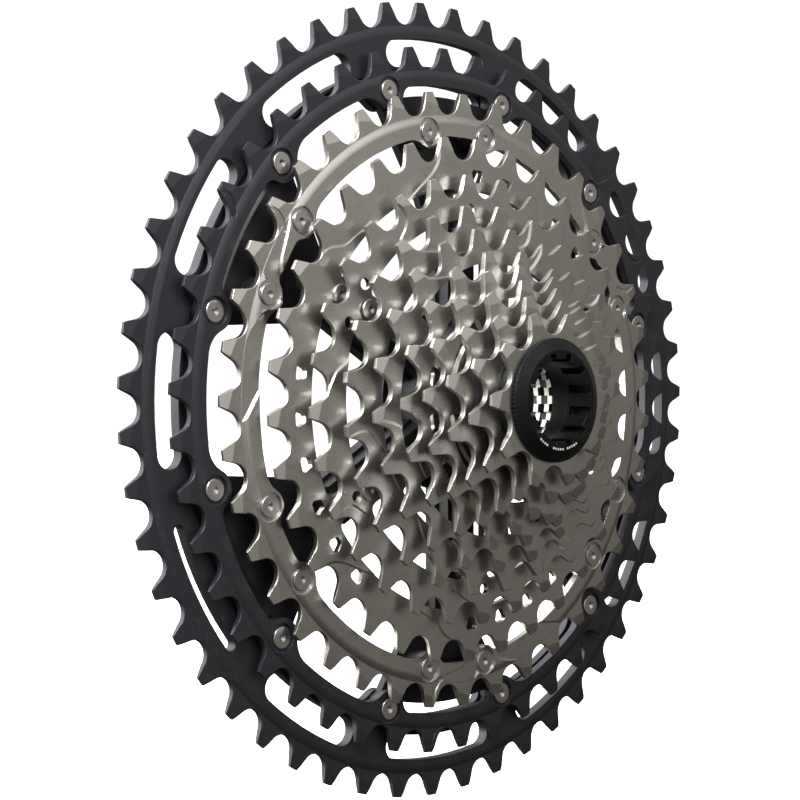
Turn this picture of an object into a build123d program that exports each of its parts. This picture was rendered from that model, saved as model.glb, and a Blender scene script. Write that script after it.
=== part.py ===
from build123d import *
import os
from math import asin, atan2, cos, degrees, pi, radians, sin

os.makedirs("parts", exist_ok=True)

# Bicycle cassette of twelve sprockets on a six-armed spider, held by a lock ring.
# Millimetres, +Z up. The axle lies along Y, the small sprockets face -Y, and the origin
# is on the axle at the rear seat of the spider's hub. "Outboard" positions are along -Y.
# Angles run anticlockwise from +X as seen from the small-sprocket side.

# Chain and tooth form
CHAIN_PITCH = 12.7
ROLLER_SEAT_R = 3.9
SEAT_HALF_ANGLE = 68
TIP_RISE = 2.1
TIP_LAND_HALF = 1.3
TOOTH_T = 1.6
EDGE_BREAK = 0.15
FACET_REACH = 2.75
FACET_DROP = 0.4
FACET_SLANT = -18

# Stack of sprockets, largest first: tooth count and angle of one tooth gap
SPACING = 3.79
LARGEST_FRONT = -1.7
GAP_ANGLES = {
    51: 4.74, 45: 6.23, 39: 0.06, 33: 3.98, 28: 9.39, 24: 1.18,
    21: 5.43, 18: 11.29, 16: 9.52, 14: 3.83, 12: 25.07, 10: 18.21,
}
STACK = list(GAP_ANGLES)

# Spider
ARMS = 6
ARM_START = 30
ARM_HALF_WIDTH = 6.5
FAN_HALF_ANGLE = 15
ARM_REAR = 0.8
FAN_ROOT_R = 49
FAN_INNER_R = 56
FAN_OUTER_R = 80.3
HUB_R = 20.0
FLANGE_R = 24.0
FLANGE_T = 2.5

# Splined bore
SPLINES = 23
SPLINE_MINOR_R = 15.4
SPLINE_MAJOR_R = 16.6
RELIEF_R = 16.7
RELIEF_DEPTH = 2.0

# Open sprockets: raised band, rivet lobes, inner edges
BAND_RAISE = 0.6
BAND_ROLL = 2.0
BAND_TO_ROOT = 0.3
OUTER_RIVET_R = 82.75
OUTER_RIVET_START = 15
OUTER_LOBE_R = 5.0
OUTER_PAD_R = 4.5
OUTER_RELIEF_R = 87.4
MIDDLE_RIVET_R = 70.7
MIDDLE_RIVET_OFFSET = 8.6
MIDDLE_LOBE_R = 4.4
RIVET_33_R = 52.4
RIVET_28_R = 45.0
SMALL_LOBE_R = 3.6
LOBE_BLEND = 2.0
ARM_SIDE_BLEND = 3.0
FREE_SIDE_BLEND = 7.0
INNER_R = {51: 83.5, 45: 82.8, 39: 69.3, 33: 55.3, 28: 47.2}
REAR_WEB_T = 0.8

# Windows between the arms of the smaller sprockets: inner radius, outer radius, arm width, turn
WINDOWS = {
    24: (21.0, 38.6, 7.5, 0),
    21: (21.0, 35.6, 7.5, 0),
    18: (21.0, 29.6, 7.0, 30),
    16: (21.0, 26.3, 7.0, 30),
}

# Shift ramps: depth of each lowered area and length of its sloping ends
RAMP_DEPTH = 0.35
RAMP_RUN = 0.8
GATE_DEPTH = 0.55
GATE_RUN = 1.0
GATES = 3
GROOVE_DEPTH = 0.25
GROOVE_WIDTH = 1.0

# Rivets
SHANK_R = 1.9
HEAD_R = 2.75
HEAD_T = 0.5
RECESS_R = 3.7
SHANK_CLEARANCE = 0.04
DIMPLE_R = 1.0
DIMPLE_DEPTH = 0.6

# Spacers
SPACER_INNER_R = 16.8
SPACER_OUTER_R = 19.6
SMALLEST_BORE_R = 14.6
SMALLEST_SPACER_OUTER_R = 16.3

# Lock ring and washer
RING_GAP = 0.05
RIM_R = 15.75
RIM_T = 0.95
BEVEL_R = 12.75
BEVEL_T = 1.5
TUBE_R = 14.0
TUBE_LENGTH = 10.0
TUBE_BORE_R = 10.9
RING_BORE_R = 10.5
RING_BORE_LENGTH = 7.5
NOTCHES = 12
NOTCH_START_R = 10.0
NOTCH_R = 12.0
NOTCH_DEPTH = 6.3
NOTCH_WIDTH = 2.2
KNURLS = 90
KNURL_R = 0.3
WASHER_OUTER_R = 15.3
WASHER_INNER_R = 14.1
WASHER_T = 0.55


def pitch_radius(teeth):
    return CHAIN_PITCH / 2 / sin(pi / teeth)


def root_radius(teeth):
    return pitch_radius(teeth) - ROLLER_SEAT_R


def tip_radius(teeth):
    return pitch_radius(teeth) + TIP_RISE


def front(teeth):
    """Outboard face of this sprocket's teeth."""
    return LARGEST_FRONT + SPACING * STACK.index(teeth)


def back(teeth):
    return front(teeth) - TOOTH_T


def polar(radius, angle):
    return (radius * cos(radians(angle)), radius * sin(radians(angle)))


def around(count, radius, start):
    """Evenly spaced (radius, angle) places."""
    return [(radius, start + place * 360 / count) for place in range(count)]


def across(position):
    """Plane square to the axle at this outboard position."""
    return Plane.XZ.offset(position)


def turn(points, mode=Mode.ADD):
    """Ring swept round the axle from (radius, outboard position) corners."""
    with BuildSketch() as profile:
        with BuildLine():
            Polyline([(radius, -position) for radius, position in points], close=True)
        make_face()
    revolve(profile.sketch, axis=Axis.Y, mode=mode)


def cut_flat(sketch, rear, length):
    """Cut a sketch drawn on XY through the part, from an outboard position forwards."""
    with BuildSketch(across(rear)) as placed:
        add(sketch)
    extrude(placed.sketch, amount=length, mode=Mode.SUBTRACT)


def tooth_outline(teeth):
    """Outer edge of a sprocket: round roller seats between flat-topped teeth."""
    half_step = 180 / teeth
    land = degrees(asin(TIP_LAND_HALF / tip_radius(teeth)))
    seats = []
    for gap in range(teeth):
        middle = GAP_ANGLES[teeth] + gap * 2 * half_step
        centre = Vector(*polar(pitch_radius(teeth), middle))
        turns = (-SEAT_HALF_ANGLE, 0, SEAT_HALF_ANGLE)
        seats.append([centre - Vector(*polar(ROLLER_SEAT_R, middle - turn_by)) for turn_by in turns])
    with BuildSketch(across(back(teeth))) as outline:
        with BuildLine():
            for gap, seat in enumerate(seats):
                tooth = GAP_ANGLES[teeth] + (2 * gap + 1) * half_step
                ThreePointArc(*seat)
                Polyline(
                    seat[2],
                    polar(tip_radius(teeth), tooth - land),
                    polar(tip_radius(teeth), tooth + land),
                    seats[(gap + 1) % teeth][0],
                )
        make_face()
    return outline.sketch


def tip_wedge(side):
    """Cutter for the slanted facet at a tooth tip, outboard (side 1) or inboard (side -1)."""
    drop = FACET_DROP * side
    with BuildPart() as wedge:
        with BuildSketch(Plane.XZ):
            with BuildLine():
                Polyline(
                    (-2 * FACET_REACH, drop),
                    (FACET_REACH, -2 * drop),
                    (FACET_REACH, 2 * side),
                    (-2 * FACET_REACH, 2 * side),
                    close=True,
                )
            make_face()
        extrude(amount=ROLLER_SEAT_R, both=True)
    return wedge.part.rotate(Axis.Z, FACET_SLANT)


def add_toothed_plate(teeth, blank):
    """Flat toothed disc with broken edges."""
    extrude(tooth_outline(teeth), amount=TOOTH_T)
    faces = blank.faces().filter_by(Axis.Y).sort_by(Axis.Y)
    chamfer(faces[0].outer_wire().edges() + faces[-1].outer_wire().edges(), EDGE_BREAK)


def cut_facets(teeth):
    """Thin every tooth's tip from both faces."""
    first_tooth = GAP_ANGLES[teeth] + 180 / teeth
    for side, face in ((1, front(teeth)), (-1, back(teeth))):
        with Locations(across(face)):
            with PolarLocations(tip_radius(teeth), teeth, start_angle=first_tooth):
                add(tip_wedge(side), mode=Mode.SUBTRACT)


def add_raised_band(teeth, inner_r):
    """Thicker band inside the teeth, with its outer edge rolled over."""
    outer_r = root_radius(teeth) - BAND_TO_ROOT
    flat_r = outer_r - BAND_ROLL
    face = front(teeth)
    top = face + BAND_RAISE
    roll_r = (BAND_ROLL**2 + BAND_RAISE**2) / (2 * BAND_RAISE)
    half_turn = asin(BAND_ROLL / roll_r) / 2
    middle = (flat_r + roll_r * sin(half_turn), -(top - roll_r * (1 - cos(half_turn))))
    with BuildSketch() as profile:
        with BuildLine():
            Polyline(
                (outer_r, -face),
                (outer_r, TOOTH_T / 2 - face),
                (inner_r, TOOTH_T / 2 - face),
                (inner_r, -top),
                (flat_r, -top),
            )
            ThreePointArc((flat_r, -top), middle, (outer_r, -face))
        make_face()
    revolve(profile.sketch, axis=Axis.Y)


def from_arm(vertex):
    """Angle between a vertex of a sketch on XY and the nearest spider arm."""
    step = 360 / ARMS
    angle = degrees(atan2(vertex.Y, vertex.X))
    return abs((angle - ARM_START + step / 2) % step - step / 2)


def lobed_opening(inner_r, lobes, lobe_r):
    """Middle of a ring, leaving rounded lobes that reach inwards."""
    with BuildSketch() as opening:
        Circle(inner_r)
        for radius, angle in lobes:
            with Locations(polar(radius, angle)):
                Circle(lobe_r, mode=Mode.SUBTRACT)
        corners = opening.vertices()
        if len(lobes) == ARMS:
            fillet(corners, LOBE_BLEND)
        else:
            offset = abs(lobes[0][1] - ARM_START)
            fillet([corner for corner in corners if from_arm(corner) > offset], FREE_SIDE_BLEND)
            corners = [corner for corner in opening.vertices() if from_arm(corner) < offset - 2]
            fillet(corners, ARM_SIDE_BLEND)
    return opening.sketch


def cut_middle(teeth, lobes, lobe_r):
    cut_flat(lobed_opening(INNER_R[teeth], lobes, lobe_r), back(teeth) - SPACING, 3 * SPACING)


def equal_circles(places, radius):
    """Equal circles at (radius, angle) places, drawn on XY."""
    with BuildSketch() as circles:
        for place_r, angle in places:
            with Locations(polar(place_r, angle)):
                Circle(radius)
    return circles.sketch


def cut_rivet_holes(places):
    cut_flat(equal_circles(places, SHANK_R + SHANK_CLEARANCE), -2 * SPACING, 10 * SPACING)


def cut_head_recesses(places, surface):
    """Round recesses for rivet heads, sunk down to this outboard position."""
    cut_flat(equal_circles(places, RECESS_R), surface, SPACING)


def cut_arc_slots(teeth, slots):
    """Curved lightening slots given as (middle angle, sweep, inner radius, outer radius)."""
    with BuildSketch() as openings:
        for middle, sweep, inner_r, outer_r in slots:
            height = outer_r - inner_r
            radius = (inner_r + outer_r) / 2
            span = sweep - 2 * degrees(height / 2 / radius)
            SlotArc(CenterArc((0, 0), radius, middle - span / 2, span), height)
    cut_flat(openings.sketch, back(teeth) - SPACING, 3 * SPACING)


def ramp_cutter(start_curve, end_curve, depth, run):
    """Cutter for a lowered area with sloping ends between two (radius, angle) curves."""
    middle_angle = (start_curve[-1][1] + end_curve[-1][1]) / 2
    with BuildPart() as cutter:
        for height, shift in ((depth, -run), (-depth, run)):
            first = [polar(radius, angle + degrees(shift / radius)) for radius, angle in start_curve]
            last = [polar(radius, angle - degrees(shift / radius)) for radius, angle in end_curve]
            with BuildSketch(Plane.XY.offset(height)):
                with BuildLine():
                    Spline(first)
                    Spline(last)
                    ThreePointArc(first[0], polar(start_curve[0][0], middle_angle), last[0])
                    ThreePointArc(first[-1], polar(start_curve[-1][0], middle_angle), last[-1])
                make_face()
        loft(ruled=True)
    return cutter.part


def repeat_cut(cutter, face, count):
    """Cut away a shape drawn on XY at this outboard position, evenly round the axle."""
    with Locations(across(face)):
        with PolarLocations(0, count):
            add(cutter, mode=Mode.SUBTRACT)


def cut_ramps(teeth, start_curve, end_curve, count):
    """Lowered areas on the outboard face that let the chain step across."""
    repeat_cut(ramp_cutter(start_curve, end_curve, RAMP_DEPTH, RAMP_RUN), front(teeth), count)


def cut_gates(teeth, areas):
    """Gaps in the raised band where the chain crosses."""
    for start_curve, end_curve in areas:
        gate = ramp_cutter(start_curve, end_curve, GATE_DEPTH, GATE_RUN)
        repeat_cut(gate, front(teeth) + BAND_RAISE, GATES)


def cut_grooves(teeth, curve):
    """Curved grooves across a tooth, one beside each gate."""
    with BuildPart() as channel:
        with BuildSketch(Plane.XY.offset(-GROOVE_DEPTH)):
            with BuildLine(mode=Mode.PRIVATE) as path:
                ThreePointArc([polar(*point) for point in curve])
            SlotArc(path.edge(), GROOVE_WIDTH)
        extrude(amount=1)
    repeat_cut(channel.part, front(teeth), GATES)


def rivets(places, rear, face):
    """Headed rivets along the axle, each with a dimple in its outboard head."""
    top = face + HEAD_T
    with BuildSketch(Plane.XZ) as profile:
        with BuildLine():
            Polyline(
                (0, rear - HEAD_T),
                (HEAD_R, rear - HEAD_T),
                (HEAD_R, rear),
                (SHANK_R, rear),
                (SHANK_R, face),
                (HEAD_R, face),
                (HEAD_R, top - EDGE_BREAK),
                (HEAD_R - EDGE_BREAK, top),
                (DIMPLE_R, top),
                (0, top - DIMPLE_DEPTH),
                close=True,
            )
        make_face()
    with BuildPart() as one:
        revolve(profile.sketch, axis=Axis.Z)
    with Locations(across(0)):
        for radius, angle in places:
            with Locations(polar(radius, angle)):
                add(one.part)


def spline_grooves():
    """Splined opening: plain circle with broad flat-bottomed grooves."""
    half_angle = 360 / SPLINES / 4
    floor_r = SPLINE_MINOR_R - 1
    with BuildSketch() as grooves:
        Circle(SPLINE_MINOR_R)
        for radius, angle in around(SPLINES, SPLINE_MAJOR_R, 0):
            with BuildLine():
                Polyline(
                    polar(floor_r, angle - half_angle),
                    polar(radius, angle - half_angle),
                    polar(radius, angle + half_angle),
                    polar(floor_r, angle + half_angle),
                    close=True,
                )
            make_face()
    return grooves.sketch


def web_windows(inner_r, outer_r, arm_width, turn_by):
    """Six rounded windows between straight arms of constant width."""
    half = 180 / ARMS
    inner_half = half - degrees(asin(arm_width / 2 / inner_r))
    outer_half = half - degrees(asin(arm_width / 2 / outer_r))
    with BuildSketch() as windows:
        for place in range(ARMS):
            middle = turn_by + 2 * half * place
            corners = [
                polar(inner_r, middle - inner_half),
                polar(outer_r, middle - outer_half),
                polar(outer_r, middle + outer_half),
                polar(inner_r, middle + inner_half),
            ]
            with BuildLine():
                Line(corners[0], corners[1])
                ThreePointArc(corners[1], polar(outer_r, middle), corners[2])
                Line(corners[2], corners[3])
                ThreePointArc(corners[3], polar(inner_r, middle), corners[0])
            make_face()
        fillet(windows.vertices(), LOBE_BLEND / 2)
    return windows.sketch


def finish_splined_disc(teeth):
    """Facets, splined bore and windows of a sprocket that sits straight on the hub."""
    cut_facets(teeth)
    cut_flat(spline_grooves(), back(teeth) - SPACING, 3 * SPACING)
    if teeth in WINDOWS:
        cut_flat(web_windows(*WINDOWS[teeth]), back(teeth) - SPACING, 3 * SPACING)


def arm_shape(inner_r, outer_r, half_width, end_r):
    """Arms from the hub to a round pad, drawn on XY."""
    with BuildSketch() as arms:
        for radius, angle in around(ARMS, (inner_r + outer_r) / 2, ARM_START):
            with Locations(Location((*polar(radius, angle), 0), (0, 0, angle))):
                Rectangle(outer_r - inner_r, 2 * half_width)
            with Locations(polar(outer_r, angle)):
                Circle(end_r)
    return arms.sketch


def fan_shape():
    """Fans at the arms' outer ends, reaching the rivets of the two largest sprockets."""
    with BuildSketch() as fans:
        for radius, angle in around(ARMS, FAN_OUTER_R, ARM_START):
            with BuildLine():
                Polyline(
                    polar(radius, angle + FAN_HALF_ANGLE + 2),
                    polar(FAN_INNER_R, angle + 10),
                    polar(FAN_ROOT_R, angle + 8),
                    polar(FAN_ROOT_R, angle - 8),
                    polar(FAN_INNER_R, angle - 10),
                    polar(radius, angle - FAN_HALF_ANGLE - 2),
                )
                ThreePointArc(
                    polar(radius, angle - FAN_HALF_ANGLE - 2),
                    polar(radius, angle),
                    polar(radius, angle + FAN_HALF_ANGLE + 2),
                )
            make_face()
        for radius, angle in OUTER_LOBES:
            with Locations(polar(radius, angle)):
                Circle(OUTER_PAD_R)
    return fans.sketch


def add_between(sketch, rear, face):
    """Extrude a sketch drawn on XY between two outboard positions."""
    with BuildSketch(across(rear)) as placed:
        add(sketch)
    extrude(placed.sketch, amount=face - rear)


OUTER_LOBES = around(2 * ARMS, OUTER_RIVET_R, OUTER_RIVET_START)
MIDDLE_LOBES = [
    place
    for side in (-1, 1)
    for place in around(ARMS, MIDDLE_RIVET_R, ARM_START + side * MIDDLE_RIVET_OFFSET)
]
LOBES_33 = around(ARMS, RIVET_33_R, ARM_START)
LOBES_28 = around(ARMS, RIVET_28_R, ARM_START)

SLOTS_51 = [
    (0, 20.5, 88.3, 95.5), (30, 20.5, 88.3, 95.5), (60, 20.5, 88.3, 95.5),
    (90.5, 23, 88.3, 95.5), (121, 21, 88.3, 95.5), (150.9, 20, 88.3, 95.7),
    (180, 20.5, 88.3, 95.5), (209.5, 22, 91.9, 95.0), (239.5, 21, 87.8, 95.2),
    (270, 24, 88.8, 95.3), (300, 20.5, 88.3, 95.5), (330, 20.5, 88.3, 95.5),
]
WINDOW_ANGLES_33 = [
    173.5 + step * 360 / 33 for step in (-12, -11, -10, -9, -8, 0, 1, 2, 3, 4, 5, 9, 10, 11, 12)
]
HOLES_28 = [(49.7, angle) for angle in (93.0, 144.4, 157.2, 208.7, 273.0, 324.4, 337.2, 28.7)]

with BuildPart() as sprocket_51t:
    add_toothed_plate(51, sprocket_51t)
    add_raised_band(51, INNER_R[51] - OUTER_LOBE_R - 2)
    rear_face = back(51) - REAR_WEB_T
    turn([(75, rear_face), (96.5, rear_face), (97.3, back(51)), (97.3, -2), (75, -2)])
    turn(
        [(60, front(51)), (OUTER_RELIEF_R, front(51)), (OUTER_RELIEF_R, 5), (60, 5)],
        mode=Mode.SUBTRACT,
    )
    cut_middle(51, OUTER_LOBES, OUTER_LOBE_R)
    cut_arc_slots(51, SLOTS_51)
    cut_facets(51)
    cut_rivet_holes(OUTER_LOBES)

with BuildPart() as sprocket_45t:
    add_toothed_plate(45, sprocket_45t)
    add_raised_band(45, INNER_R[45] - 10)
    cut_middle(45, OUTER_LOBES, OUTER_LOBE_R)
    cut_grooves(45, ((94, 147.5), (89.5, 146.6), (86.3, 148.8)))
    cut_facets(45)
    cut_rivet_holes(OUTER_LOBES)
    cut_head_recesses(OUTER_LOBES, front(45))

with BuildPart() as sprocket_39t:
    add_toothed_plate(39, sprocket_39t)
    add_raised_band(39, INNER_R[39] - 10)
    cut_middle(39, MIDDLE_LOBES, MIDDLE_LOBE_R)
    cut_gates(
        39,
        [
            ([(66, 156), (68.5, 153.6), (70.2, 151.8), (72, 147), (74, 142.6), (75.6, 140.2), (79, 138)],
             [(66, 159), (69, 158), (72, 157), (74.6, 156), (79, 155)]),
            ([(66, 160.5), (69, 161.2), (71.4, 162.6), (72.6, 164.5), (73.9, 166.6), (75, 169), (79, 171)],
             [(66, 175), (70, 179.5), (72.5, 182.5), (75, 185), (79, 188)]),
        ],
    )
    cut_grooves(39, ((81.5, 144.6), (77.5, 143.8), (73.5, 145.6)))
    cut_facets(39)
    cut_rivet_holes(MIDDLE_LOBES)
    cut_head_recesses(MIDDLE_LOBES, front(39))

with BuildPart() as sprocket_33t:
    add_toothed_plate(33, sprocket_33t)
    cut_middle(33, LOBES_33, SMALL_LOBE_R)
    cut_ramps(
        33,
        [(53, 117), (55.5, 112), (57.5, 107), (60, 102), (62.5, 99.5), (66, 98.5), (72, 98)],
        [(53, 128), (56.2, 130.5), (57.7, 136.2), (58.4, 138.9), (61.7, 142.7), (63, 145.4), (72, 147)],
        3,
    )
    cut_facets(33)
    cut_rivet_holes(LOBES_33)
    with BuildSketch() as windows_33:
        for window_angle in WINDOW_ANGLES_33:
            with Locations(Location((*polar(59, window_angle), 0), (0, 0, window_angle))):
                Trapezoid(4.6, 3.4, 70, rotation=90)
        fillet(windows_33.vertices(), 0.9)
    cut_flat(windows_33.sketch, back(33) - 1, SPACING)

with BuildPart() as sprocket_28t:
    add_toothed_plate(28, sprocket_28t)
    cut_middle(28, LOBES_28, SMALL_LOBE_R)
    cut_ramps(
        28,
        [(44, 129), (48.4, 126.1), (50.2, 122.2), (51.9, 119.6), (55.6, 119.2), (58.5, 120.5), (62, 122)],
        [(44, 158), (46.4, 160.1), (46.7, 163.9), (47.5, 168.5), (50.4, 172), (52.7, 177.2), (62, 180)],
        4,
    )
    cut_facets(28)
    cut_rivet_holes(LOBES_28)
    cut_flat(equal_circles(HOLES_28, 1.5), back(28) - 1, SPACING)

with BuildPart() as sprocket_24t:
    add_toothed_plate(24, sprocket_24t)
    cut_ramps(
        24,
        [(39.2, 199), (42.1, 192.2), (43.8, 189.6), (47.5, 189.2), (55, 190.5)],
        [(39.2, 226), (39.9, 231.3), (41.5, 235.1), (44, 241.7), (55, 247)],
        3,
    )
    finish_splined_disc(24)

with BuildPart() as sprocket_21t:
    add_toothed_plate(21, sprocket_21t)
    cut_ramps(
        21,
        [(32.9, 196), (36, 190), (40, 187), (48, 187)],
        [(32.9, 229.9), (32.8, 234), (35.4, 239), (37.9, 246.3), (48, 252)],
        3,
    )
    finish_splined_disc(21)

with BuildPart() as sprocket_18t:
    add_toothed_plate(18, sprocket_18t)
    finish_splined_disc(18)

with BuildPart() as sprocket_16t:
    add_toothed_plate(16, sprocket_16t)
    finish_splined_disc(16)

with BuildPart() as sprocket_14t:
    add_toothed_plate(14, sprocket_14t)
    finish_splined_disc(14)

with BuildPart() as sprocket_12t:
    add_toothed_plate(12, sprocket_12t)
    finish_splined_disc(12)

with BuildPart() as sprocket_10t:
    add_toothed_plate(10, sprocket_10t)
    cut_facets(10)
    with Locations(across(front(10))):
        Cylinder(SMALLEST_BORE_R, 2 * SPACING, mode=Mode.SUBTRACT)
        Cylinder(WASHER_OUTER_R + 0.1, 2 * (WASHER_T + RING_GAP), mode=Mode.SUBTRACT)

with BuildPart() as spider:
    add_between(fan_shape(), front(51), back(45))
    fan_root = arm_shape(FAN_ROOT_R, FAN_INNER_R, ARM_HALF_WIDTH, SMALL_LOBE_R)
    add_between(fan_root, front(51), back(39))
    add_between(arm_shape(HUB_R - 3, RIVET_33_R, ARM_HALF_WIDTH, ARM_HALF_WIDTH), ARM_REAR, back(39))
    add_between(equal_circles(MIDDLE_LOBES, MIDDLE_LOBE_R), front(51), back(39))
    add_between(arm_shape(HUB_R - 3, RIVET_33_R, ARM_HALF_WIDTH - 1, SMALL_LOBE_R), ARM_REAR, back(33))
    add_between(arm_shape(HUB_R - 3, RIVET_28_R, ARM_HALF_WIDTH - 2, SMALL_LOBE_R), ARM_REAR, back(28))
    turn([(SPLINE_MINOR_R - 2, 0), (HUB_R, 0), (HUB_R, back(24)), (SPLINE_MINOR_R - 2, back(24))])
    turn([(HUB_R - 1, 0), (FLANGE_R, 0), (FLANGE_R, FLANGE_T), (HUB_R - 1, FLANGE_T)])
    cut_flat(spline_grooves(), -1, back(24) + 2)
    turn([(0, -1), (RELIEF_R, -1), (RELIEF_R, RELIEF_DEPTH), (0, RELIEF_DEPTH)], mode=Mode.SUBTRACT)
    cut_rivet_holes(OUTER_LOBES + MIDDLE_LOBES + LOBES_33 + LOBES_28)

with BuildPart() as rivets_45t:
    rivets(OUTER_LOBES, back(51) - REAR_WEB_T, front(45))

with BuildPart() as rivets_39t:
    rivets(MIDDLE_LOBES, front(51), front(39))

with BuildPart() as rivets_33t:
    rivets(LOBES_33, front(51), front(33))

with BuildPart() as rivets_28t:
    rivets(LOBES_28, ARM_REAR, front(28))

with BuildPart() as lock_washer:
    washer_rear = front(10) - WASHER_T
    turn([
        (WASHER_INNER_R, washer_rear), (WASHER_OUTER_R, washer_rear),
        (WASHER_OUTER_R, front(10)), (WASHER_INNER_R, front(10)),
    ])

with BuildPart() as lock_ring:
    seat = front(10) + RING_GAP
    rim_top = seat + RIM_T
    face = rim_top + BEVEL_T
    step = face - RING_BORE_LENGTH
    turn([
        (TUBE_BORE_R, seat - TUBE_LENGTH), (TUBE_R, seat - TUBE_LENGTH), (TUBE_R, seat),
        (RIM_R, seat), (RIM_R, rim_top), (BEVEL_R, face), (RING_BORE_R, face),
        (RING_BORE_R, step), (TUBE_BORE_R, step),
    ])
    with BuildSketch() as notches:
        for notch_r, notch_angle in around(NOTCHES, (NOTCH_START_R + NOTCH_R) / 2, 180 / NOTCHES):
            with Locations(Location((*polar(notch_r, notch_angle), 0), (0, 0, notch_angle))):
                Rectangle(NOTCH_R - NOTCH_START_R, NOTCH_WIDTH)
    cut_flat(notches.sketch, face - NOTCH_DEPTH, NOTCH_DEPTH + 1)
    with BuildSketch() as knurling:
        for knurl_r, knurl_angle in around(KNURLS, RIM_R, 0):
            with Locations(polar(knurl_r, knurl_angle)):
                Circle(KNURL_R)
    cut_flat(knurling.sketch, seat - 0.1, RIM_T - 0.1)


def spacer(rear, length, inner_r, outer_r):
    turn([(inner_r, rear), (outer_r, rear), (outer_r, rear + length), (inner_r, rear + length)])


gap = SPACING - TOOTH_T
with BuildPart() as spacer_24t_21t:
    spacer(front(24), gap, SPACER_INNER_R, SPACER_OUTER_R)

with BuildPart() as spacer_21t_18t:
    spacer(front(21), gap, SPACER_INNER_R, SPACER_OUTER_R)

with BuildPart() as spacer_18t_16t:
    spacer(front(18), gap, SPACER_INNER_R, SPACER_OUTER_R)

with BuildPart() as spacer_16t_14t:
    spacer(front(16), gap, SPACER_INNER_R, SPACER_OUTER_R)

with BuildPart() as spacer_14t_12t:
    spacer(front(14), gap, SPACER_INNER_R, SPACER_OUTER_R)

with BuildPart() as spacer_12t_10t:
    spacer(front(12), gap, SMALLEST_BORE_R, SMALLEST_SPACER_OUTER_R)

for piece, name in (
    (sprocket_51t, "sprocket_51t"), (sprocket_45t, "sprocket_45t"),
    (sprocket_39t, "sprocket_39t"), (sprocket_33t, "sprocket_33t"),
    (sprocket_28t, "sprocket_28t"), (sprocket_24t, "sprocket_24t"),
    (sprocket_21t, "sprocket_21t"), (sprocket_18t, "sprocket_18t"),
    (sprocket_16t, "sprocket_16t"), (sprocket_14t, "sprocket_14t"),
    (sprocket_12t, "sprocket_12t"), (sprocket_10t, "sprocket_10t"),
    (spider, "spider"), (rivets_45t, "rivets_45t"), (rivets_39t, "rivets_39t"),
    (rivets_33t, "rivets_33t"), (rivets_28t, "rivets_28t"),
    (spacer_24t_21t, "spacer_24t_21t"), (spacer_21t_18t, "spacer_21t_18t"),
    (spacer_18t_16t, "spacer_18t_16t"), (spacer_16t_14t, "spacer_16t_14t"),
    (spacer_14t_12t, "spacer_14t_12t"), (spacer_12t_10t, "spacer_12t_10t"),
    (lock_washer, "lock_washer"), (lock_ring, "lock_ring"),
):
    piece.part.label = name
    export_step(piece.part, f"parts/{name}.step")
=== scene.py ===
from math import cos, pi, radians, sin

import bpy
from mathutils import Matrix, Vector


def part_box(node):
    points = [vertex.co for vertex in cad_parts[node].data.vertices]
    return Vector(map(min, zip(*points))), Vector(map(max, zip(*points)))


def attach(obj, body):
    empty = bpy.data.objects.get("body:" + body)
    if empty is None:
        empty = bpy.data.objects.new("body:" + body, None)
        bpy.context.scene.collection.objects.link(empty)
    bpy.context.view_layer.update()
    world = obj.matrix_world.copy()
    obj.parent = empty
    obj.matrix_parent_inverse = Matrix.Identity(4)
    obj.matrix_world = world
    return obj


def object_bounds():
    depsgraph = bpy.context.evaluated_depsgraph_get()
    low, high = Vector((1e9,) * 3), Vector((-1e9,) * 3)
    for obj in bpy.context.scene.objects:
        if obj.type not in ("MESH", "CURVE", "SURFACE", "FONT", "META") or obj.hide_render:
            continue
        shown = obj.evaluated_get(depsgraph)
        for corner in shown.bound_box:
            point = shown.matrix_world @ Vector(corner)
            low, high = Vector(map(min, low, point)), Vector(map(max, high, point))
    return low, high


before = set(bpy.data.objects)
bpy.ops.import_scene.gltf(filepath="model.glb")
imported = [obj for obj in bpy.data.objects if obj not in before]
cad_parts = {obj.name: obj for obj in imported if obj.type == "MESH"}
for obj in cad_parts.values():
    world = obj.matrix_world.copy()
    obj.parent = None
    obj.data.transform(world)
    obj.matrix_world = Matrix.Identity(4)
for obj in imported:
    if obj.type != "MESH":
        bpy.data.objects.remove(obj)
cad_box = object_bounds()

MM = 0.001

# Camera: a long lens level with the axle, to the left of the small-sprocket side
CAMERA_AZIMUTH = -44.743
CAMERA_ELEVATION = 0.233
CAMERA_DISTANCE = 583.2 * MM
CAMERA_RIGHT = -9.18 * MM
CAMERA_UP = -0.08 * MM
AIM_POINT = Vector((0, 2.286 * MM, 0))
LENS_MM = 98.4
SENSOR_MM = 36.0

# Colours, linear
NICKEL = (0.525, 0.515, 0.49)
BLACK_ALLOY = (0.034, 0.034, 0.042)
# The spider's black is a darker copy of the black alloy: painted shade for its fans, which sit in shadow
# between the big sprockets
SHADED_SPIDER_BLACK = (0.016, 0.016, 0.019)
RING_BLACK = (0.005, 0.0055, 0.007)
RIVET = (0.50, 0.49, 0.48)
SPACER = (0.045, 0.045, 0.048)
PRINT_WHITE = (0.75, 0.76, 0.78)
FLOOR = (0.9, 0.9, 0.9)

# Room light: a base that brightens and cools upwards, a key glow behind and a glow for tooth facets.
# Each span is the cosine of the angle to the aim where the glow starts and where it is full.
KEY_DIRECTION = (-0.6, 0.5, 0.62)
KEY_SPAN = (0.4, 0.95)
KEY_STRENGTH = 4.0
SLOPE_DIRECTION = (-0.45, -0.1, 1.0)
SLOPE_SPAN = (-0.5, 0.6)
BASE_DARK = 0.07
BASE_BRIGHT = 0.63
LOW_TINT = (1.0, 0.92, 0.82)
HIGH_TINT = (1.0, 0.99, 0.975)
FACET_DIRECTION = (0.25, -0.85, 0.45)
FACET_SPAN = (0.86, 0.93)
FACET_STRENGTH = 0.8
BACKDROP_STRENGTH = 1.2

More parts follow.
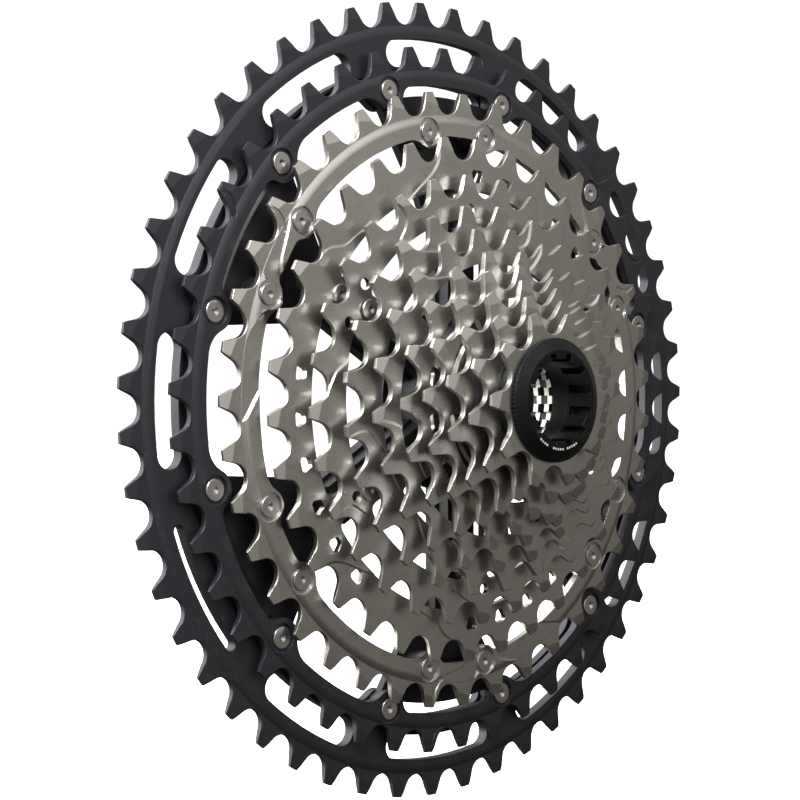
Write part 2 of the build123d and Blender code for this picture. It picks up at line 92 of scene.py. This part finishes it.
# Lamps: name, place, aim, size in metres and power in watts
LAMPS = (
    ("key_upper_left", (-1.5, 0.1, 1.3), (0, 0, 0), (0.7, 0.7), 24),
    ("left_side", (-1.5, 0.8, 0.1), (0, 0, 0), (0.5, 1.2), 10),
    ("near_upper_left", (-0.32, -0.25, 0.35), (-0.03, 0, 0.03), (0.2, 0.2), 2.2),
)

# Floor: half its side in metres and how strongly it glows
FLOOR_HALF = 3.0
FLOOR_GLOW = 0.75

# Surface detail: blotches, scuffs and grain per millimetre, and the rounding of edges in millimetres
BLOTCH_SCALE = 0.05
SCUFF_SCALE = 0.6
FINE_SCALE = 9.0
EDGE_ROUNDING = 0.22

# White print on the lock ring: angles in degrees, radii and depths in millimetres
STROKES = 17
WORD_GAPS = (4, 5, 11)
FIRST_STROKE = -128.0
STROKE_STEP = 4.1
NARROW_HALF = 1.1
WIDE_HALF = 1.45
WIDE_EVERY = 3
PRINT_INNER_R = 12.12
PRINT_OUTER_R = 12.68
PRINT_RAISED = 0.02
PRINT_SUNK = 0.05

BLACK_NODES = ("sprocket_51t", "sprocket_45t")
SILVER_NODES = [f"sprocket_{teeth}t" for teeth in (39, 33, 28, 24, 21, 18, 16, 14, 12, 10)]
SPACER_NODES = [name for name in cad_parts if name.startswith("spacer_")] + ["lock_washer"]
RIVET_NODES = ("rivets_45t", "rivets_39t", "rivets_33t", "rivets_28t")


class Nodes:
    """Small helper that adds and links shader nodes."""

    def __init__(self, tree):
        self.tree = tree

    def add(self, kind, **settings):
        node = self.tree.nodes.new(kind)
        for key, value in settings.items():
            setattr(node, key, value)
        return node

    def link(self, source, target):
        self.tree.links.new(source, target)
        return target

    def math(self, operation, first, second=None, clamp=False):
        node = self.add("ShaderNodeMath", operation=operation, use_clamp=clamp)
        for socket, value in zip(node.inputs, (first, second)):
            if value is None:
                continue
            if isinstance(value, (int, float)):
                socket.default_value = value
            else:
                self.link(value, socket)
        return node.outputs[0]

    def noise(self, vector, scale, detail=3.0, roughness=0.5):
        node = self.add("ShaderNodeTexNoise")
        node.inputs["Scale"].default_value = scale
        node.inputs["Detail"].default_value = detail
        node.inputs["Roughness"].default_value = roughness
        self.link(vector, node.inputs["Vector"])
        return node.outputs["Fac"]

    def mix(self, factor, first, second):
        node = self.add("ShaderNodeMix", data_type="RGBA")
        self.link(factor, node.inputs["Factor"])
        for name, value in (("A", first), ("B", second)):
            socket = [s for s in node.inputs if s.name == name and s.type == "RGBA"][0]
            if isinstance(value, tuple):
                socket.default_value = (*value, 1)
            else:
                self.link(value, socket)
        return [s for s in node.outputs if s.type == "RGBA"][0]

    def span(self, value, low, high, to_low, to_high):
        node = self.add("ShaderNodeMapRange")
        node.inputs["From Min"].default_value = low
        node.inputs["From Max"].default_value = high
        node.inputs["To Min"].default_value = to_low
        node.inputs["To Max"].default_value = to_high
        self.link(value, node.inputs["Value"])
        return node.outputs["Result"]


def scaled(colour, factor):
    return tuple(min(1.0, channel * factor) for channel in colour)


def metal(name, colour, roughness, metallic=1.0, grain=0.02, wear=1.35, turning=0.0, specular=0.5):
    """Satin metal in real scale: grain, turning marks round the axle and lighter worn edges."""
    material = bpy.data.materials.new(name)
    material.use_nodes = True
    n = Nodes(material.node_tree)
    shader = material.node_tree.nodes["Principled BSDF"]
    shader.inputs["Metallic"].default_value = metallic
    shader.inputs["Specular IOR Level"].default_value = specular
    place = n.add("ShaderNodeTexCoord").outputs["Object"]
    in_mm = n.add("ShaderNodeVectorMath", operation="SCALE")
    in_mm.inputs["Scale"].default_value = 1 / MM
    n.link(place, in_mm.inputs[0])
    position = in_mm.outputs[0]

    blotches = n.noise(position, BLOTCH_SCALE, 4.0)
    scuffs = n.noise(position, SCUFF_SCALE, 5.0, 0.65)
    fine = n.noise(position, FINE_SCALE, 2.0)

    bevel = n.add("ShaderNodeBevel", samples=4)
    bevel.inputs["Radius"].default_value = EDGE_ROUNDING * MM
    geometry = n.add("ShaderNodeNewGeometry")
    agreement = n.add("ShaderNodeVectorMath", operation="DOT_PRODUCT")
    n.link(bevel.outputs[0], agreement.inputs[0])
    n.link(geometry.outputs["Normal"], agreement.inputs[1])
    edge = n.span(agreement.outputs["Value"], 0.995, 0.86, 0.0, 1.0)
    broken_edge = n.math("MULTIPLY", edge, n.span(scuffs, 0.35, 0.6, 0.35, 1.0), clamp=True)

    toned = n.mix(n.span(blotches, 0.3, 0.7, 0.0, 1.0), scaled(colour, 0.93), scaled(colour, 1.06))
    worn = n.mix(broken_edge, toned, scaled(colour, wear))
    n.link(worn, shader.inputs["Base Color"])

    rough = n.span(scuffs, 0.3, 0.7, roughness * 0.88, roughness * 1.14)
    n.link(n.math("SUBTRACT", rough, n.math("MULTIPLY", edge, 0.06)), shader.inputs["Roughness"])

    height = fine
    if turning:
        axes = n.add("ShaderNodeSeparateXYZ")
        n.link(position, axes.inputs[0])
        squares = [n.math("MULTIPLY", axes.outputs[a], axes.outputs[a]) for a in ("X", "Z")]
        radius = n.math("SQRT", n.math("ADD", *squares))
        rings = n.math("SINE", n.math("MULTIPLY", radius, 2 * pi / turning))
        height = n.math("ADD", n.math("MULTIPLY", fine, 0.6), n.math("MULTIPLY", rings, 0.5))
    bump = n.add("ShaderNodeBump")
    bump.inputs["Strength"].default_value = 1.0
    bump.inputs["Distance"].default_value = grain * MM
    n.link(height, bump.inputs["Height"])
    n.link(bevel.outputs[0], bump.inputs["Normal"])
    n.link(bump.outputs[0], shader.inputs["Normal"])
    return material


def paint(material, names):
    for name in names:
        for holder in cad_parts[name].material_slots:
            holder.material = material


def printed_marks():
    """Short raised strokes of white print round the lock ring's face, in place of lettering."""
    face_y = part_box("lock_ring")[0].y
    vertices, faces = [], []
    for index in range(STROKES):
        if index in WORD_GAPS:
            continue
        angle = radians(FIRST_STROKE + index * STROKE_STEP)
        half = radians(NARROW_HALF if index % WIDE_EVERY else WIDE_HALF)
        base = len(vertices)
        for y in (face_y - PRINT_RAISED * MM, face_y + PRINT_SUNK * MM):
            for turn in (-half, half):
                for r in (PRINT_INNER_R * MM, PRINT_OUTER_R * MM):
                    vertices.append((r * cos(angle + turn), y, r * sin(angle + turn)))
        faces += [
            tuple(base + i for i in side)
            for side in ((0, 1, 3, 2), (4, 6, 7, 5), (0, 4, 5, 1), (2, 3, 7, 6), (0, 2, 6, 4), (1, 5, 7, 3))
        ]
    mesh = bpy.data.meshes.new("lock_ring_print")
    mesh.from_pydata(vertices, [], faces)
    mesh.materials.append(metal("white_print", PRINT_WHITE, 0.6, metallic=0.0, grain=0.01, wear=1.0))
    marks = bpy.data.objects.new("lock_ring_print", mesh)
    bpy.context.scene.collection.objects.link(marks)
    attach(marks, "lock_ring")


def area_light(name, location, target, size, power):
    data = bpy.data.lights.new(name, "AREA")
    data.shape = "RECTANGLE"
    data.size, data.size_y = size
    data.energy = power
    light = bpy.data.objects.new(name, data)
    light.location = location
    light.rotation_euler = (Vector(target) - Vector(location)).to_track_quat("-Z", "Y").to_euler()
    bpy.context.scene.collection.objects.link(light)


def glow_toward(n, direction, aim, span, strength=1.0):
    """Strength that rises from nothing as a direction turns towards an aim."""
    lean = n.add("ShaderNodeVectorMath", operation="DOT_PRODUCT")
    lean.inputs[1].default_value = Vector(aim).normalized()
    n.link(direction, lean.inputs[0])
    return n.span(lean.outputs["Value"], *span, 0.0, strength)


def light_world():
    """White behind the object; a graded grey studio with two glows."""
    world = bpy.data.worlds.new("studio")
    bpy.context.scene.world = world
    world.use_nodes = True
    n = Nodes(world.node_tree)
    world.node_tree.nodes.clear()
    direction = n.add("ShaderNodeTexCoord").outputs["Generated"]
    key = glow_toward(n, direction, KEY_DIRECTION, KEY_SPAN, KEY_STRENGTH)
    height = glow_toward(n, direction, SLOPE_DIRECTION, SLOPE_SPAN)
    base = n.span(height, 0.0, 1.0, BASE_DARK, BASE_BRIGHT)
    facets = glow_toward(n, direction, FACET_DIRECTION, FACET_SPAN, FACET_STRENGTH)
    soft = n.add("ShaderNodeBackground")
    n.link(n.mix(height, LOW_TINT, HIGH_TINT), soft.inputs["Color"])
    n.link(n.math("ADD", n.math("ADD", key, facets), base), soft.inputs["Strength"])
    white = n.add("ShaderNodeBackground")
    white.inputs["Color"].default_value = (1, 1, 1, 1)
    white.inputs["Strength"].default_value = BACKDROP_STRENGTH
    choose = n.add("ShaderNodeMixShader")
    n.link(n.add("ShaderNodeLightPath").outputs["Is Camera Ray"], choose.inputs[0])
    n.link(soft.outputs[0], choose.inputs[1])
    n.link(white.outputs[0], choose.inputs[2])
    n.link(choose.outputs[0], n.add("ShaderNodeOutputWorld").inputs["Surface"])


def lay_floor():
    """Plain pale floor just under the lowest tooth."""
    level = cad_box[0][2]
    half = FLOOR_HALF
    mesh = bpy.data.meshes.new("floor")
    corners = [(-half, -half, level), (half, -half, level), (half, half, level), (-half, half, level)]
    mesh.from_pydata(corners, [], [(0, 1, 2, 3)])
    material = bpy.data.materials.new("pale_floor")
    material.use_nodes = True
    shader = material.node_tree.nodes["Principled BSDF"]
    shader.inputs["Base Color"].default_value = (*FLOOR, 1)
    shader.inputs["Roughness"].default_value = 0.9
    shader.inputs["Specular IOR Level"].default_value = 0.0
    shader.inputs["Emission Color"].default_value = (1, 1, 1, 1)
    shader.inputs["Emission Strength"].default_value = FLOOR_GLOW
    mesh.materials.append(material)
    floor = bpy.data.objects.new("floor", mesh)
    bpy.context.scene.collection.objects.link(floor)
    floor.visible_glossy = False
    floor.visible_diffuse = False


def place_camera():
    turn, lift = radians(CAMERA_AZIMUTH), radians(CAMERA_ELEVATION)
    back = Vector((sin(turn) * cos(lift), -cos(turn) * cos(lift), sin(lift)))
    right = Vector((cos(turn), sin(turn), 0))
    up = back.cross(right)
    data = bpy.data.cameras.new("camera")
    data.lens = LENS_MM
    data.sensor_width = SENSOR_MM
    data.clip_start = 0.01
    data.clip_end = 20.0
    camera = bpy.data.objects.new("camera", data)
    axes = Matrix((right, up, back)).transposed().to_4x4()
    spot = AIM_POINT + CAMERA_DISTANCE * back + CAMERA_RIGHT * right + CAMERA_UP * up
    camera.matrix_world = Matrix.Translation(spot) @ axes
    bpy.context.scene.collection.objects.link(camera)
    bpy.context.scene.camera = camera


place_camera()
light_world()
lay_floor()
for lamp in LAMPS:
    area_light(*lamp)

paint(metal("satin_nickel", NICKEL, 0.30, grain=0.012, wear=1.45), SILVER_NODES)
paint(metal("black_anodised", BLACK_ALLOY, 0.40, metallic=0.5, grain=0.02, wear=2.2), BLACK_NODES)
# The spider takes the darker copy of the black alloy, so painted shade stands in for the shadow between the
# big sprockets
paint(
    metal("spider_black_painted_shade", SHADED_SPIDER_BLACK, 0.45, metallic=0.4, grain=0.02, wear=2.2, specular=0.35),
    ["spider"],
)
paint(metal("rivet_steel", RIVET, 0.32, grain=0.01, wear=1.3), RIVET_NODES)
paint(metal("spacer_alloy", SPACER, 0.40, grain=0.015, turning=0.35), SPACER_NODES)
paint(
    metal(
        "lock_ring_black", RING_BLACK, 0.34, metallic=0.3, grain=0.012, wear=4.0, turning=0.3, specular=0.32
    ),
    ["lock_ring"],
)
printed_marks()

scene = bpy.context.scene
scene.view_settings.view_transform = "Standard"
scene.view_settings.look = "None"
